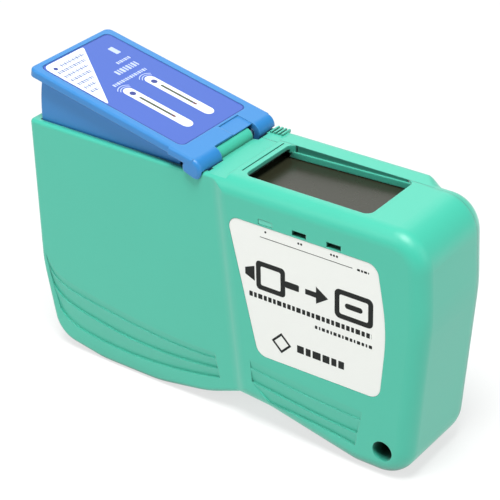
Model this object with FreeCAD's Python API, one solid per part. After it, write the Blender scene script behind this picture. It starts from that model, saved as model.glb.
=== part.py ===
import FreeCAD, Part
import math
import os

V = FreeCAD.Vector

# ---- case (mm; X runs along the case, Y through its thickness, Z up) ----
HEAD_HALF = 17.0            # half thickness of the head
GRIP_FRONT = 15.8           # front face of the grip, from the middle plane
GRIP_REAR = 18.0            # rear face of the grip
DECK_Z = 75.0               # deck around the window
STEP_Z = 74.2               # deck between the hinge and the thin step
GRIP_Z = 73.3               # top edge of the grip
WALL = 2.2
FRONT_INNER = -(GRIP_FRONT - 1.8)   # inner face of the front wall
REAR_INNER = HEAD_HALF - 2.8        # inner face of the rear wall
SEAM_Y = 9.6                # the two shells meet here
STEP_X = 2.6
HEAD_ROUND_FRONT = 4.5
HEAD_ROUND_REAR = 3.0
END_ROUND = 9.0             # rear edge round the end of the head
END_BLEND = (46.0, 51.2)    # the rear edge swells between these two places
GRIP_ROUND = 1.6
GRIP_TOP_ROUND = 1.0
GRIP_RUN = 2.0              # how far the grip's lower line runs on inside the head
BAND_HALF = 2.8             # half width of the soft step between grip and head
BAND_X = 7.2                # middle of that step at the base
BAND_SLOPE = -0.09          # its lean, mm in X for each mm in Z

# corners (x, z, radius) of the two blocks, seen from the front
GRIP_LOW = [(-66.4, 27.0, 40.0), (-62.2, 3.0, 9.0), (-45.0, 0.0, 25.0),
            (-24.0, 0.0, 40.0), (-6.0, 3.2, 40.0), (3.5, 6.9, 0.0)]
HEAD_RIM = [(16.0, 6.2, 30.0), (44.0, 0.0, 12.0), (60.8, 0.0, 10.0),
            (65.15, 50.0, 60.0), (64.2, DECK_Z, 10.0)]

# ---- window, label and small openings ----
WINDOW = (6.2, 45.3, -11.8)         # left, right, near edge
WINDOW_ROUND = 2.2
RAIL_Y = 9.0                # near face of the rail over the far side of the shutter
RAIL_TOP = 2.0
WINDOW_LIP = 1.1            # thickness of the deck at the left edge of the window
DECK_GROOVE = (4.2, 4.6, -10.2, 8.8, 0.35)  # fine groove beside the window: x, y, depth
LABEL = [(3.9, 64.7, 3.0), (51.0, 64.7, 3.5), (54.2, 46.0, 60.0),
         (52.2, 24.4, 3.5), (13.2, 24.0, 3.5)]
LABEL_DEPTH = 0.5
SLOT_X = (16.5, 27.2, 37.9)
SLOT_Z = 65.9
SLOT_SIZE = (4.4, 1.5)
STRAP = (53.4, 8.3)
STRAP_R = 3.0

# ---- lever, built flat about the hinge and then tilted ----
HINGE = (-7.7, 74.5)
TILT = 12.0
LUG_R = 3.2
LUG_ROUND = 1.2
BARREL_R = 2.3
PIN_R = 1.25
PIN_Y = (-13.7, 15.2)
FOOT = [(-3.6, 0.0), (-0.2, -0.5), (3.6, -0.05)]   # underside of the lug ends, from the hinge
FOOT_Y = (-13.8, 15.3)       # the lugs are full round between these two places
EAR_LOW = 1.7               # how far the near lug's end reaches below the hinge
RIM_LENGTH = 58.4
RIM_Y = (-16.3, 17.8)
RIM_LOW = 1.0               # underside of the lever plate above the hinge axis
SKIRT_R = 55.2
SKIRT_HALF = 13.8
SKIRT_WALL = 1.4
SKIRT_LOW = 70.8            # lower edge of the skirt at rest
PANEL = (5.7, 56.4, -13.8, 15.2)    # start, end and sides of the label panel
PANEL_ROUND = 2.0
STEP = (5.0, 1.3, 0.3)      # low step beside the barrel: end, near side, depth
BARREL = (-6.8, 9.6)
NEAR_LUG = (RIM_Y[0] - 0.6, BARREL[0] - 0.3)   # its end hangs a little over the front face
FAR_LUG = (BARREL[1] + 0.3, RIM_Y[1])
TAIL_FRONT = (FRONT_INNER + 0.2, FRONT_INNER + 1.6)
TAIL_REAR = (10.6, 12.4)
TAIL_PIN = (-23.7, 12.15)   # drives the shutter arm
TAIL_PATH = [(-7.7, 72.5), (-10.8, 30.0), (-12.2, 14.5), TAIL_PIN]
PAWL_PIVOT = (-10.49, 50.06)

# ---- shutter and its arm ----
SLIDE_TILT = 2.0
SLIDE_Z = 70.5              # top of the shutter under the hinge
SHUTTER = (6.7, 54.0, -12.0, 10.0)
SHUTTER_T = 1.0
ARM_PIVOT = (-17.0, 24.6)
ARM_ANGLE = 28.3
ARM_REACH = 41.0
ARM_Y = (FRONT_INNER + 2.0, FRONT_INNER + 3.4)
TAB_Y = (FRONT_INNER + 3.6, FRONT_INNER + 4.8)
TAB_X = 10.14

# ---- reels and tape ----
TAKE_UP = (-32.0, 27.0)
SUPPLY = (36.0, 32.0)
REEL_Y = (-9.0, -8.0, 7.4, 9.0)     # front flange, core and rear flange
SPINDLE_R = 3.9
CORE_R = 7.0
TAKE_UP_R = 22.0
TAKE_UP_ROLL = 11.0
SUPPLY_R = 24.0
SUPPLY_ROLL = 18.0
TEETH = 30
TOOTH_ROOT = 20.4
TOOTH_START = 96.5          # angle of the tooth held by the drive pawl
TAPE_Y = (-7.6, 7.0)
TAPE_T = 0.2
ROLLER_R = 2.4
ROLLER_X = (12.2, 57.7)     # along the slide, from the hinge
ROLLER_LOW = -5.4
AXLE_R = 1.0

# ---- return spring ----
SPRING = (-50.0, 0.0)
SHELF_Z = 51.5
SPRING_TOP = 83.3
SPRING_R = 3.4
SPRING_WIRE = 0.8
SPRING_TURNS = 4


def box(x0, x1, y0, y1, z0, z1):
    return Part.makeBox(x1 - x0, y1 - y0, z1 - z0, V(x0, y0, z0))


def disc(x, z, r, y0, y1):
    return Part.makeCylinder(r, y1 - y0, V(x, y0, z), V(0, 1, 0))


def ring(x, z, r, bore, y0, y1):
    return disc(x, z, r, y0, y1).cut(disc(x, z, bore, y0 - 1, y1 + 1))


def rounded_wire(corners, y):
    # closed outline in the XZ plane with each corner rounded by its own radius
    spots = [V(c[0], y, c[1]) for c in corners]
    joints = []
    for i, spot in enumerate(spots):
        radius = corners[i][2] if len(corners[i]) > 2 else 0.0
        back = spots[i - 1] - spot
        ahead = spots[(i + 1) % len(spots)] - spot
        back = back * (1 / back.Length)
        ahead = ahead * (1 / ahead.Length)
        if radius == 0:
            joints.append((spot, None, spot))
            continue
        half = back.getAngle(ahead) / 2
        reach = radius / math.tan(half)
        inward = back + ahead
        inward = inward * (1 / inward.Length)
        middle = spot + inward * (radius / math.sin(half) - radius)
        joints.append((spot + back * reach, middle, spot + ahead * reach))
    edges = []
    for i, (start, middle, stop) in enumerate(joints):
        if middle is not None:
            edges.append(Part.Arc(start, middle, stop).toShape())
        following = joints[(i + 1) % len(joints)][0]
        if stop.distanceToPoint(following) > 1e-6:
            edges.append(Part.makeLine(stop, following))
    return Part.Wire(edges)


def prism(corners, y0, y1):
    return Part.Face(rounded_wire(corners, y0)).extrude(V(0, y1 - y0, 0))


def bar(start, stop, half, y0, y1):
    # straight strip with round ends
    along = V(stop[0] - start[0], 0, stop[1] - start[1])
    side = V(-along.z, 0, along.x) * (half / along.Length)
    corners = [(p[0] + s * side.x, p[1] + s * side.z)
               for p, s in ((start, -1), (stop, -1), (stop, 1), (start, 1))]
    return prism(corners, y0, y1).multiFuse(
        [disc(start[0], start[1], half, y0, y1), disc(stop[0], stop[1], half, y0, y1)])


def pick(shape, test):
    # edges whose middle passes the test
    return [e for e in shape.Edges if test(e.CenterOfMass)]


def joined(first, *others):
    return first.multiFuse(list(others)).removeSplitter()


def turned(shape, angle, centre):
    # turn about a Y axis; a positive angle lifts the -X side
    copy = shape.copy()
    copy.rotate(V(centre[0], 0, centre[1]), V(0, 1, 0), angle)
    return copy


def on_slide(shape):
    # place a piece drawn along the shutter slide, with its origin under the hinge
    copy = shape.copy()
    copy.translate(V(HINGE[0], 0, SLIDE_Z))
    return turned(copy, -SLIDE_TILT, (HINGE[0], SLIDE_Z))


def slide_point(x, z):
    a = math.radians(SLIDE_TILT)
    return (HINGE[0] + x * math.cos(a) - z * math.sin(a),
            SLIDE_Z + x * math.sin(a) + z * math.cos(a))


# ---------------------------------------------------------------- case
def band_cutter(side, left_half, right_half):
    # everything outside a soft S-shaped step between two faces, along its lean
    rise = right_half - left_half
    sweep = 2 * math.atan(abs(rise) / (2 * BAND_HALF))
    radius = BAND_HALF / math.sin(sweep)
    dx = radius * math.sin(sweep / 2)
    dy = math.copysign(radius * (1 - math.cos(sweep / 2)), rise)
    base = -5.0
    x = BAND_X + BAND_SLOPE * base

    def at(px, py):
        return V(x + px, side * py, base)
    start, stop = at(-BAND_HALF, left_half), at(BAND_HALF, right_half)
    middle = at(0, (left_half + right_half) / 2)
    edges = [Part.makeLine(at(-40, left_half), start),
             Part.Arc(start, at(-BAND_HALF + dx, left_half + dy), middle).toShape(),
             Part.Arc(middle, at(BAND_HALF - dx, right_half - dy), stop).toShape(),
             Part.makeLine(stop, at(40, right_half)),
             Part.makeLine(at(40, right_half), at(40, 25)),
             Part.makeLine(at(40, 25), at(-40, 25)),
             Part.makeLine(at(-40, 25), at(-40, left_half))]
    height = 95.0
    return Part.Face(Part.Wire(edges)).extrude(V(BAND_SLOPE * height, 0, height))


def grip_block():
    # the lower line runs on past the notch, so the head covers its end
    last, notch = GRIP_LOW[-2], GRIP_LOW[-1]
    end_x, end_z = [last[i] + (notch[i] - last[i]) * GRIP_RUN for i in (0, 1)]
    left, top = GRIP_LOW[0][0], GRIP_Z + 12
    block = prism([(left, top)] + GRIP_LOW[:-1] + [(end_x, end_z), (end_x, top)], -GRIP_FRONT, GRIP_REAR)
    block = block.makeFillet(GRIP_ROUND, pick(
        block, lambda c: min(abs(c.y + GRIP_FRONT), abs(c.y - GRIP_REAR)) < 1e-6
        and c.x < end_x - 0.1 and c.z < top - 0.1))
    block = block.cut(box(left - 10, end_x + 10, -30, 30, GRIP_Z, top + 10))
    block = block.makeFillet(GRIP_TOP_ROUND, pick(
        block, lambda c: abs(c.z - GRIP_Z) < 1e-6 and c.x < end_x - 0.1))
    return block.cut(band_cutter(1, GRIP_REAR, HEAD_HALF - 0.02))


def head_block():
    corners = [(-11.0, DECK_Z), (-11.0, 60.0), (-1.0, 14.0), (3.0, 7.3)] + HEAD_RIM
    block = prism(corners, -HEAD_HALF, HEAD_HALF)
    block = block.makeFillet(HEAD_ROUND_FRONT, pick(
        block, lambda c: abs(c.y + HEAD_HALF) < 1e-6 and (c.x > 3.1 or c.z > DECK_Z - 0.01)))
    # the rear edge has a small round by the window, a large one round the end, and swells between them
    near = block.common(box(-20, END_BLEND[0], -30, 30, -10, 90))
    near = near.makeFillet(HEAD_ROUND_REAR, rear_edges(near, -1.0, END_BLEND[0]))
    end = block.common(box(END_BLEND[1], 80, -30, 30, -10, 90))
    end = end.makeFillet(END_ROUND, rear_edges(end, END_BLEND[1], 80))
    swell = block.common(box(END_BLEND[0], END_BLEND[1], -30, 30, -10, 90))
    for top in (True, False):
        edge = [e for e in rear_edges(swell, *END_BLEND) if (e.CenterOfMass.z > 40) == top]
        radii = (HEAD_ROUND_REAR, END_ROUND)
        if edge[0].Vertexes[0].X > edge[0].Vertexes[-1].X:
            radii = radii[::-1]
        swell = swell.makeFillet(*radii, edge)
    return joined(near, swell, end).cut(band_cutter(-1, GRIP_FRONT, HEAD_HALF))


def rear_edges(piece, x0, x1):
    # the piece's edges round the rear face, without those that it was parted at
    return pick(piece, lambda c: abs(c.y - HEAD_HALF) < 1e-6 and min(abs(c.x - x0), abs(c.x - x1)) > 1e-3
                and (c.x > 3.1 or c.z > DECK_Z - 0.01))


# upper edge of each grip flute, seen from the front; every flute deepens down to the next edge
GRIP_FLUTES = [[(-64.6, 30.4), (-60.4, 25.0), (-52.0, 22.4), (-36.0, 20.0), (-20.0, 18.4), (-2.6, 18.3)],
               [(-63.8, 26.6), (-59.6, 21.8), (-52.0, 19.6), (-36.0, 17.2), (-20.0, 15.8), (-2.5, 16.2)],
               [(-62.5, 20.1), (-58.2, 16.2), (-50.0, 13.8), (-36.0, 11.6), (-22.0, 11.1), (-1.8, 13.1)],
               [(-60.4, 12.4), (-56.2, 8.8), (-49.0, 7.0), (-36.0, 6.0), (-22.0, 6.6), (-1.2, 10.1)]]
HEAD_FLUTES = [[(10.4, 21.6), (22.0, 20.4), (34.0, 19.4), (47.0, 18.6)],
               [(10.6, 18.6), (22.0, 17.3), (34.0, 16.3), (46.5, 15.7)],
               [(10.9, 14.2), (22.0, 12.8), (34.0, 11.5), (45.5, 10.9)],
               [(16.6, 9.4), (24.0, 8.9), (34.0, 8.1), (44.8, 6.6)]]
FLUTE_DEPTHS = (0.3, 0.55, 0.55)
FLUTE_LEDGE = 0.12          # flat part of each flute beside its lower edge


def flute_face(upper, lower, y):
    # closed outline between two flowing lines
    lines = []
    for path in (upper, lower):
        curve = Part.BSplineCurve()
        curve.interpolate([V(x, y, z) for x, z in path])
        lines.append(curve.toShape())
    ends = [Part.makeLine(V(upper[i][0], y, upper[i][1]), V(lower[i][0], y, lower[i][1])) for i in (0, -1)]
    return Part.Wire([lines[0], ends[1], lines[1], ends[0]])


def flutes(side, edges, half):
    cutters = []
    for upper, lower, depth in zip(edges[:-1], edges[1:], FLUTE_DEPTHS):
        inner = [(x, z + FLUTE_LEDGE) for x, z in lower]
        cutters.append(Part.makeLoft([flute_face(upper, lower, side * (half + 0.02)),
                                      flute_face(inner, lower, side * (half - depth))], True, True))
    return cutters


def cavity():
    outline = [(GRIP_LOW[0][0], GRIP_Z, 2.6)] + GRIP_LOW + HEAD_RIM + [(STEP_X, DECK_Z), (STEP_X, GRIP_Z)]
    inner = Part.Face(rounded_wire(outline, FRONT_INNER)).makeOffset2D(-WALL)
    hollow = inner.extrude(V(0, REAR_INNER - FRONT_INNER, 0))
    return hollow.cut(prism([(54.5, -5), (59.5, 50), (59.0, 80), (80, 80), (80, -5)], REEL_Y[3], 20))


def case_body():
    block = joined(grip_block(), head_block())
    ramp = prism([(-30, GRIP_Z), (-9.5, GRIP_Z), (-4.0, STEP_Z), (STEP_X, STEP_Z), (STEP_X, 90), (-30, 90)],
                 -25, 25)
    grooves = flutes(-1, GRIP_FLUTES, GRIP_FRONT) + flutes(1, GRIP_FLUTES, GRIP_REAR)
    for side in (-1, 1):
        grooves += flutes(side, HEAD_FLUTES, HEAD_HALF)
    body = block.cut([ramp, cavity()] + grooves)
    sleeve = disc(STRAP[0], STRAP[1], STRAP_R + 1.8, FRONT_INNER - 1, REAR_INNER + 1).common(block)
    body = joined(body, sleeve, disc(HINGE[0], HINGE[1], BARREL_R, *BARREL))
    lever_bay = box(HINGE[0] - SKIRT_R - 0.5, -12.6, -SKIRT_HALF - 0.3, SKIRT_HALF + 0.3, 52, 90)
    troughs = [disc(HINGE[0], HINGE[1], LUG_R + 0.3, FOOT_Y[0] - 0.2, BARREL[0]),
               disc(HINGE[0], HINGE[1], LUG_R + 0.3, BARREL[1], FOOT_Y[1] + 0.2)]
    above = [box(HINGE[0] - 3.7, HINGE[0] + 3.7, -30, BARREL[0], HINGE[1], 90),
             box(HINGE[0] - 3.7, HINGE[0] + 3.7, BARREL[1], 30, HINGE[1], 90)]
    tail_ways = [box(-12.7, -3.6, -14.1, -12.1, 66, 80), box(-12.7, -3.6, 8.0, 12.7, 66, 80)]
    window = box(WINDOW[0], WINDOW[1], WINDOW[2], SEAM_Y, DECK_Z - 10, DECK_Z + 10)
    window = window.makeFillet(WINDOW_ROUND, pick(window, lambda c: abs(c.z - DECK_Z) < 1e-6
                               and min(abs(c.x - WINDOW[0]), abs(c.x - WINDOW[1])) < 1e-6
                               and min(abs(c.y - WINDOW[2]), abs(c.y - SEAM_Y)) < 1e-6))
    sight = [box(x - SLOT_SIZE[0] / 2, x + SLOT_SIZE[0] / 2, -20, FRONT_INNER + 0.1,
                 SLOT_Z - SLOT_SIZE[1] / 2, SLOT_Z + SLOT_SIZE[1] / 2) for x in SLOT_X]
    recess = prism(LABEL, -20, -HEAD_HALF + LABEL_DEPTH)
    bores = [disc(*STRAP, STRAP_R, -30, 30), disc(*HINGE, PIN_R + 0.01, *PIN_Y)]
    x0, x1, y0, y1, deep = DECK_GROOVE
    groove = box(x0, x1, y0, y1, DECK_Z - deep, DECK_Z + 1)
    undercut = box(x0 - 1.0, WINDOW[0] + 1, WINDOW[2] + 1.0, SEAM_Y - 1.0, DECK_Z - 3, DECK_Z - WINDOW_LIP)
    openings = [lever_bay, window, undercut, groove, recess] + sight
    return body.cut(openings + troughs + above + tail_ways + bores)


PEGS = [(-62.3, 40.0), (58.5, 58.0), (1.0, 13.0)]


def front_shell(body):
    shell = body.common(box(-100, 100, -40, SEAM_Y, -10, 120))
    posts = []
    for x, z in (TAKE_UP, SUPPLY):
        posts.append(disc(x, z, 6.0, FRONT_INNER - 0.5, REEL_Y[0] - 0.2))
        posts.append(disc(x, z, SPINDLE_R, FRONT_INNER, 7.0))
    posts += [disc(x, z, 2.4, 1.0, SEAM_Y) for x, z in PEGS[:2]]
    posts.append(box(PEGS[1][0], PEGS[1][0] + 4.8, 1.0, SEAM_Y, PEGS[1][1] - 1.0, PEGS[1][1] + 1.0))
    posts.append(disc(PEGS[2][0], PEGS[2][1], 2.4, 0.0, SEAM_Y).fuse(box(0.0, 3.4, 0.0, SEAM_Y, 7.6, 13.0)))
    posts.append(disc(ARM_PIVOT[0], ARM_PIVOT[1], 2.6, FRONT_INNER - 0.5, ARM_Y[0] - 0.1))
    posts.append(box(-55.5, -44.5, FRONT_INNER - 0.5, 5.0, SHELF_Z - 2.0, SHELF_Z))
    posts.append(Part.makeCylinder(2.4, 4.0, V(SPRING[0], SPRING[1], SHELF_Z)))
    posts.append(box(-61.5, -56.0, 0.0, 9.4, 8.0, 12.0))
    posts.append(box(12.0, 16.0, 0.0, 9.4, 7.2, 12.6))
    shell = joined(shell, *posts)
    holes = [disc(x, z, 1.3, SEAM_Y - 3.5, SEAM_Y + 1) for x, z in PEGS]
    holes.append(disc(ARM_PIVOT[0], ARM_PIVOT[1], 1.41, FRONT_INNER, ARM_Y[0] + 1))
    return shell.cut(holes).removeSplitter()


def rear_cover(body):
    cover = body.common(box(-100, 100, SEAM_Y, 40, -10, 120))
    extra = [disc(x, z, 5.5, REEL_Y[3] + 0.15, REAR_INNER + 0.5) for x, z in (TAKE_UP, SUPPLY)]
    for x, z in PEGS:
        extra += [disc(x, z, 2.4, SEAM_Y, REAR_INNER + 0.5), disc(x, z, 1.2, SEAM_Y - 3.0, REAR_INNER)]
    extra += [box(x, x + 0.6, GRIP_REAR - 4.6, GRIP_REAR - 0.7, STEP_Z - 0.4, STEP_Z + 0.5)
              for x in (-3.5, -2.3, -1.1, 0.1)]
    rail = on_slide(box(WINDOW[0] - HINGE[0], WINDOW[1] - HINGE[0], RAIL_Y, SEAM_Y + 0.6, 0.25, RAIL_TOP))
    extra.append(rail.cut(body))
    return joined(cover, *extra)


# ---------------------------------------------------------------- lever
def lever():
    reach = RIM_LENGTH
    plate = box(-reach, 0, *RIM_Y, RIM_LOW, LUG_R)
    plate = plate.makeFillet(2.2, pick(
        plate, lambda c: abs(c.x + reach) < 1e-6 and abs(c.z - (RIM_LOW + LUG_R) / 2) < 1e-6))
    plate = plate.makeFillet(0.7, pick(plate, lambda c: abs(c.z - LUG_R) < 1e-6 and c.x < -BARREL_R - 0.5))
    sunk = [panel_field(0, 9),
            box(-STEP[0], 1, STEP[1], FAR_LUG[0], LUG_R - STEP[2], 9)]
    plate = plate.cut(sunk + [disc(0, 0, BARREL_R + 0.2, NEAR_LUG[1], FAR_LUG[0])])
    outer = box(-70, -5.5, -SKIRT_HALF, SKIRT_HALF, -20, RIM_LOW + 0.2).common(disc(0, 0, SKIRT_R, -20, 20))
    wall = SKIRT_WALL
    inner = box(-70, 0, -SKIRT_HALF + wall, SKIRT_HALF - wall, -30, RIM_LOW)
    inner = inner.common(disc(0, 0, SKIRT_R - wall, -20, 20))
    skirt = outer.cut(inner)
    lugs = []
    for (y0, y1), end in ((NEAR_LUG, NEAR_LUG[0]), (FAR_LUG, FAR_LUG[1])):
        knuckle = disc(0, 0, LUG_R, y0, y1)
        lugs.append(knuckle.makeFillet(LUG_ROUND, pick(knuckle, lambda c: abs(c.y - end) < 1e-6)))
        web = box(-8.0, 0, y0, y1, RIM_LOW, LUG_R)
        web = web.makeFillet(0.7, pick(web, lambda c: abs(c.y - end) < 1e-6 and abs(c.z - LUG_R) < 1e-6))
        lugs.append(web.cut(sunk))
    top = [turned(s, TILT, (0, 0)) for s in [plate] + lugs]
    # the lug ends stop above the case, and the skirt's corners close the gap beside them
    below = [(6, FOOT[-1][1]), (6, -6), (-6, -6), (-6, FOOT[0][1])] + FOOT
    ends = [prism(below, -GRIP_FRONT - 0.25, FOOT_Y[0]), prism(below, FOOT_Y[1], RIM_Y[1] + 1),
            turned(box(-6, 6, -20, -GRIP_FRONT, -6, -EAR_LOW), TILT + 10, (0, 0))]
    top = [s.cut(ends) for s in top]
    cheek = [(-5.7, 0.15), (-3.0, -0.4), (-1.0, -0.4), (-1.0, 1.5), (-5.7, 2.2)]
    top += [prism(cheek, -SKIRT_HALF, -SKIRT_HALF + wall), prism(cheek, SKIRT_HALF - wall, SKIRT_HALF)]
    skirt = turned(skirt, TILT, (0, 0))
    skirt = skirt.cut(box(-80, 20, -30, 30, -60, SKIRT_LOW - HINGE[1]))
    for s in top + [skirt]:
        s.translate(V(HINGE[0], 0, HINGE[1]))
    parts = [bar(a, b, 2.5, *TAIL_FRONT) for a, b in zip(TAIL_PATH[:-1], TAIL_PATH[1:])]
    parts.append(disc(TAIL_PIN[0], TAIL_PIN[1], 3.0, *TAIL_FRONT))
    parts.append(disc(TAIL_PIN[0], TAIL_PIN[1], 1.5, TAIL_FRONT[0], ARM_Y[1] + 0.2))
    parts.append(bar((HINGE[0], HINGE[1] - 1.5), PAWL_PIVOT, 2.6, *TAIL_REAR))
    parts.append(Part.makeCylinder(2.4, 4.2, V(SPRING[0], SPRING[1], 80.9)).common(
        turned(box(-90, 0, -9, 9, 60, HINGE[1] + RIM_LOW + 0.5), TILT, HINGE)))
    body = joined(top[0], skirt, *(top[1:] + parts))
    return body.cut([disc(HINGE[0], HINGE[1], PIN_R + 0.05, PIN_Y[0] - 0.1, PIN_Y[1] + 0.1),
                     disc(PAWL_PIVOT[0], PAWL_PIVOT[1], 1.21, TAIL_REAR[0] - 1, TAIL_REAR[1] - 0.4)])


def panel_field(gap, top):
    # the label's place on the lever, kept back by a gap, with round corners
    field = box(-PANEL[1] + gap, -PANEL[0] - gap, PANEL[2] + gap, PANEL[3] - gap, LUG_R - 0.4, top)
    corners = [e for e in field.Edges if abs(e.tangentAt(0).z) > 0.9]
    return field.makeFillet(PANEL_ROUND - gap, corners)


def lever_label():
    sheet = panel_field(0.05, LUG_R - 0.1)
    sheet.translate(V(HINGE[0], 0, HINGE[1]))
    return turned(sheet, TILT, HINGE)


def drive_pawl():
    y0, y1 = 7.65, 8.85
    blade = prism([(-35.5, 48.15), (-34.9, 48.15), (-34.6, 49.7), (-15.0, 48.9), (-12.0, 47.8),
                   (-12.0, 52.4), (-33.5, 52.0), (-36.0, 50.6)], y0, y1)
    return joined(blade, disc(PAWL_PIVOT[0], PAWL_PIVOT[1], 2.6, y0, y1)).cut(
        disc(PAWL_PIVOT[0], PAWL_PIVOT[1], 1.25, 0, 20))


def pawl_pin():
    x, z = PAWL_PIVOT
    return joined(disc(x, z, 1.2, 7.5, TAIL_REAR[1] - 0.4), disc(x, z, 2.2, 8.95, TAIL_REAR[0]))


# ---------------------------------------------------------------- shutter
def shutter():
    x0, x1, y0, y1 = SHUTTER
    plate = box(x0, x1, y0, y1, -SHUTTER_T, 0)
    tab = box(TAB_X - 3.6, TAB_X + 3.6, TAB_Y[0], TAB_Y[1], -13.5, -SHUTTER_T)
    tab = tab.cut(box(TAB_X - 2.2, TAB_X + 2.2, -20, 0, -12.4, -2.4))
    return on_slide(joined(plate, tab))


def shutter_arm():
    y0, y1 = ARM_Y
    lower = box(-4.2, 4.2, y0, y1, -22, 0).common(disc(0, 0, 20.2, y0, y1))
    upper = prism([(-3.6, 0), (3.6, 0), (2.4, ARM_REACH), (-2.4, ARM_REACH)], y0, y1)
    arm = joined(lower, upper, disc(0, 0, 4.2, y0, y1), disc(0, ARM_REACH, 2.9, y0, y1),
                 disc(0, ARM_REACH, 1.5, y0, TAB_Y[1] - 0.1))
    arm = arm.cut([box(-2.25, 2.25, -20, 0, -18.7, -11.6), disc(0, 0, 1.45, -20, 0)])
    arm = turned(arm, ARM_ANGLE, (0, 0))
    arm.translate(V(ARM_PIVOT[0], 0, ARM_PIVOT[1]))
    return arm


def arm_pivot():
    x, z = ARM_PIVOT
    return joined(disc(x, z, 1.4, FRONT_INNER, ARM_Y[1] + 0.1), disc(x, z, 2.6, ARM_Y[1] + 0.1, -9.4))


# ---------------------------------------------------------------- reels
def reel(centre, radius, rear):
    x, z = centre
    front = disc(x, z, radius, REEL_Y[0], REEL_Y[1])
    body = joined(front, disc(x, z, CORE_R, REEL_Y[0], REEL_Y[2]), rear)
    holes = [disc(x, z, SPINDLE_R + 0.06, -20, 20)]
    for k in range(3):
        a = math.radians(120 * k + 30)
        reach = (radius + CORE_R) / 2
        holes.append(disc(x + reach * math.cos(a), z + reach * math.sin(a), 3.2,
                          REEL_Y[0] - 1, REEL_Y[1] + 0.5))
    return body.cut(holes)


def take_up_reel():
    x, z = TAKE_UP
    corners = []
    for k in range(TEETH):
        a = math.radians(TOOTH_START + 360.0 / TEETH * k)
        corners.append((x + TAKE_UP_R * math.cos(a), z + TAKE_UP_R * math.sin(a)))
        corners.append((x + TOOTH_ROOT * math.cos(a), z + TOOTH_ROOT * math.sin(a)))
    return reel(TAKE_UP, TAKE_UP_R - 0.6, prism(corners, REEL_Y[2], REEL_Y[3]))


def supply_reel():
    return reel(SUPPLY, SUPPLY_R, disc(SUPPLY[0], SUPPLY[1], SUPPLY_R, REEL_Y[2], REEL_Y[3] - 0.4))


def roll(centre, radius):
    return ring(centre[0], centre[1], radius, CORE_R + 0.01, *TAPE_Y)


def tape_run():
    # path: supply roll, right roller, left roller, take-up roll; +1 turns with the tape, -1 against it
    over = TAPE_T / 2 + 0.06
    right, left = slide_point(ROLLER_X[1], ROLLER_LOW), slide_point(ROLLER_X[0], ROLLER_LOW)
    stops = [(SUPPLY, SUPPLY_ROLL + over, 1), (right, ROLLER_R + over, 1),
             (left, ROLLER_R + over, 1), (TAKE_UP, TAKE_UP_ROLL + over, -1)]
    edges, ends = [], []
    for shift in (-TAPE_T / 2, TAPE_T / 2):
        lines = []
        for (c1, r1, s1), (c2, r2, s2) in zip(stops[:-1], stops[1:]):
            span = V(c2[0] - c1[0], 0, c2[1] - c1[1])
            lean = math.asin((s2 * r2 - s1 * r1) / span.Length)
            angle = math.atan2(span.z, span.x) - lean
            side = V(-math.sin(angle), 0, math.cos(angle))
            lines.append([V(c[0], TAPE_Y[0], c[1]) - side * (s * r - shift)
                          for c, r, s in ((c1, r1, s1), (c2, r2, s2))])
        for i, (a, b) in enumerate(lines):
            edges.append(Part.makeLine(a, b))
            if i + 1 < len(lines):
                c, r, s = stops[i + 1]
                centre = V(c[0], TAPE_Y[0], c[1])
                out = (b - centre) + (lines[i + 1][0] - centre)
                crown = centre + out * ((r - s * shift) / out.Length)
                edges.append(Part.Arc(b, crown, lines[i + 1][0]).toShape())
        ends.append((lines[0][0], lines[-1][1]))
    edges += [Part.makeLine(ends[0][0], ends[1][0]), Part.makeLine(ends[0][1], ends[1][1])]
    outline = Part.Wire(Part.__sortEdges__(edges))
    return Part.Face(outline).extrude(V(0, TAPE_Y[1] - TAPE_Y[0], 0))


def guide_roller(x):
    cx, cz = slide_point(x, ROLLER_LOW)
    return ring(cx, cz, ROLLER_R, AXLE_R + 0.05, -7.8, 7.2)


def roller_axle(x):
    cx, cz = slide_point(x, ROLLER_LOW)
    return disc(cx, cz, AXLE_R, -8.9, 8.3)


def tape_guide():
    rails = ((-8.9, -7.9), (7.3, 8.3))
    parts = [box(15, 53, -8.9, 8.3, -7.0, -5.0)]
    for y0, y1 in rails:
        parts += [box(9.4, 60.4, y0, y1, -8.0, -2.5), box(-34.0, 13.8, y0, y1, -5.0, -1.3),
                  box(55.3, 60.4, y0, y1, -5.0, -1.3)]
    parts += [box(x, x + 4, FRONT_INNER, -8.5, -7.0, -4.5) for x in (28.3, 50.0)]
    body = on_slide(joined(parts[0], *parts[1:]))
    return body.cut([disc(*slide_point(x, ROLLER_LOW), AXLE_R + 0.01, -20, 20) for x in ROLLER_X])


def slot_plate():
    plate = box(14.2, 55.0, -8.9, 8.3, -2.5, -1.3)
    for y in (-4.2, 3.4):
        plate = plate.cut(box(20, 49, y - 1.5, y + 1.5, -3, 0))
    return on_slide(plate)


def backing_pad():
    return on_slide(box(16, 52, -7.6, 7.0, -5.0, -2.99))


# ---------------------------------------------------------------- springs
def return_spring():
    height = SPRING_TOP - SHELF_Z - SPRING_WIRE
    helix = Part.makeHelix(height / SPRING_TURNS, height, SPRING_R)
    half = SPRING_WIRE / 2
    section = Part.makePolygon([V(SPRING_R - half, 0, -half), V(SPRING_R + half, 0, -half),
                                V(SPRING_R + half, 0, half), V(SPRING_R - half, 0, half),
                                V(SPRING_R - half, 0, -half)])
    coil = Part.Wire(helix).makePipeShell([section], True, True)
    coil.translate(V(SPRING[0], SPRING[1], SHELF_Z + half))
    return Part.Solid(coil) if coil.ShapeType == "Shell" else coil


def click_spring():
    leaf = [(-56.0, 8.2), (-55.4, 8.2), (-55.4, 12.4), (-53.6, 20.0), (-54.1, 20.2), (-56.0, 12.6)]
    return prism(leaf, 7.6, 8.8)


def brake_spring():
    leaf = [(16.0, 8.8), (16.6, 8.8), (16.6, 10.6), (22.0, 11.5), (21.8, 12.0), (16.0, 12.2)]
    return prism(leaf, 7.6, 8.5)


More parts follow.
